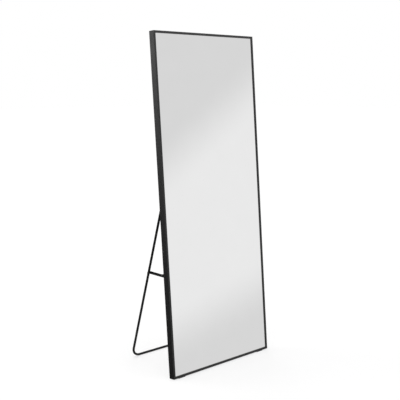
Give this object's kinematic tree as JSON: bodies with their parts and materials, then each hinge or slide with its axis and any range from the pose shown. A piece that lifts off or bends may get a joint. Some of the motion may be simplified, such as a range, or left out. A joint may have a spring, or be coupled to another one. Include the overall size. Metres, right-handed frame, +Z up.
{
  "type": "leaning floor mirror",
  "caption": "Full-length rectangular floor mirror in a slim matt-black metal frame, leaning back on a folding U-shaped round-tube stand held open by folding stays.",
  "frame": {"origin": "on the floor, at the middle of the whole object's footprint box", "axes": "+Z up, +X to the viewer's right from in front of the glass, +Y to the rear"},
  "size_m": [0.6, 0.3594, 1.4989],
  "materials": {
    "black_aluminium": "matt black powder coat on extruded aluminium",
    "cast_key": "die-cast, bare",
    "mirror_glass": "float glass silvered on the back",
    "safety_film": "self-adhesive shatter-proof film",
    "foam": "closed-cell foam sheet",
    "fibreboard": "fibreboard with a black paper face",
    "rubber": "moulded rubber",
    "black_steel_sheet": "pressed steel, black powder coat",
    "black_steel_tube": "bent steel tube, black powder coat",
    "black_plastic": "moulded black plastic",
    "nylon": "black nylon",
    "fastener_steel": "black zinc-plated steel"
  },
  "bodies": {
    "mirror": {"left_stile": "black_aluminium", "right_stile": "black_aluminium", "top_rail": "black_aluminium", "bottom_rail": "black_aluminium", "bottom_left_corner_key": "cast_key", "top_left_corner_key": "cast_key", "top_right_corner_key": "cast_key", "bottom_right_corner_key": "cast_key", "mirror_glass": "mirror_glass", "safety_film": "safety_film", "foam_sheet": "foam", "backboard": "fibreboard", "left_foot_pad": "rubber", "right_foot_pad": "rubber", "left_hinge_bracket": "black_steel_sheet", "right_hinge_bracket": "black_steel_sheet", "left_stay_bracket": "black_steel_sheet", "right_stay_bracket": "black_steel_sheet", "hinge_bolts": "fastener_steel", "hinge_washers": "nylon", "hinge_lock_nuts": "fastener_steel", "stay_rivets": "fastener_steel", "bracket_screws": "fastener_steel", "corner_screws": "fastener_steel"},
    "stand": {"stand_tube": "black_steel_tube", "left_tube_plug": "black_plastic", "right_tube_plug": "black_plastic", "leg_rivets": "fastener_steel", "leg_spacers": "nylon"},
    "left_front_link": {"left_front_link": "black_steel_sheet", "left_elbow_rivet_front": "fastener_steel"},
    "left_rear_link": {"left_rear_link": "black_steel_sheet", "left_elbow_rivet_rear": "fastener_steel", "left_elbow_spacer": "nylon"},
    "right_front_link": {"right_front_link": "black_steel_sheet", "right_elbow_rivet_front": "fastener_steel"},
    "right_rear_link": {"right_rear_link": "black_steel_sheet", "right_elbow_rivet_rear": "fastener_steel", "right_elbow_spacer": "nylon"}
  },
  "joints": [
    {"name": "stand_fold", "type": "hinge", "parent": "mirror", "child": "stand", "pos_m": [0, -0.07458, 0.82397], "axis": [1, 0, 0], "range_deg": [-21.5, 0]},
    {"name": "left_front_link_fold", "type": "hinge", "parent": "mirror", "child": "left_front_link", "pos_m": [0, -0.10602, 0.43323], "axis": [1, 0, 0], "range_deg": [0, 85.26]},
    {"name": "left_rear_link_fold", "type": "hinge", "parent": "stand", "child": "left_rear_link", "pos_m": [0, 0.04407, 0.43361], "axis": [1, 0, 0], "range_deg": [-73.23, 0]},
    {"name": "right_front_link_fold", "type": "hinge", "parent": "mirror", "child": "right_front_link", "pos_m": [0, -0.10602, 0.43323], "axis": [1, 0, 0], "range_deg": [0, 85.26]},
    {"name": "right_rear_link_fold", "type": "hinge", "parent": "stand", "child": "right_rear_link", "pos_m": [0, 0.04407, 0.43361], "axis": [1, 0, 0], "range_deg": [-73.23, 0]}
  ],
  "couplings": [
    {"joint": "left_front_link_fold", "follows": "stand_fold", "ratio": -3.9641},
    {"joint": "left_rear_link_fold", "follows": "stand_fold", "ratio": 3.4051},
    {"joint": "right_front_link_fold", "follows": "stand_fold", "ratio": -3.9641},
    {"joint": "right_rear_link_fold", "follows": "stand_fold", "ratio": 3.4051}
  ]
}
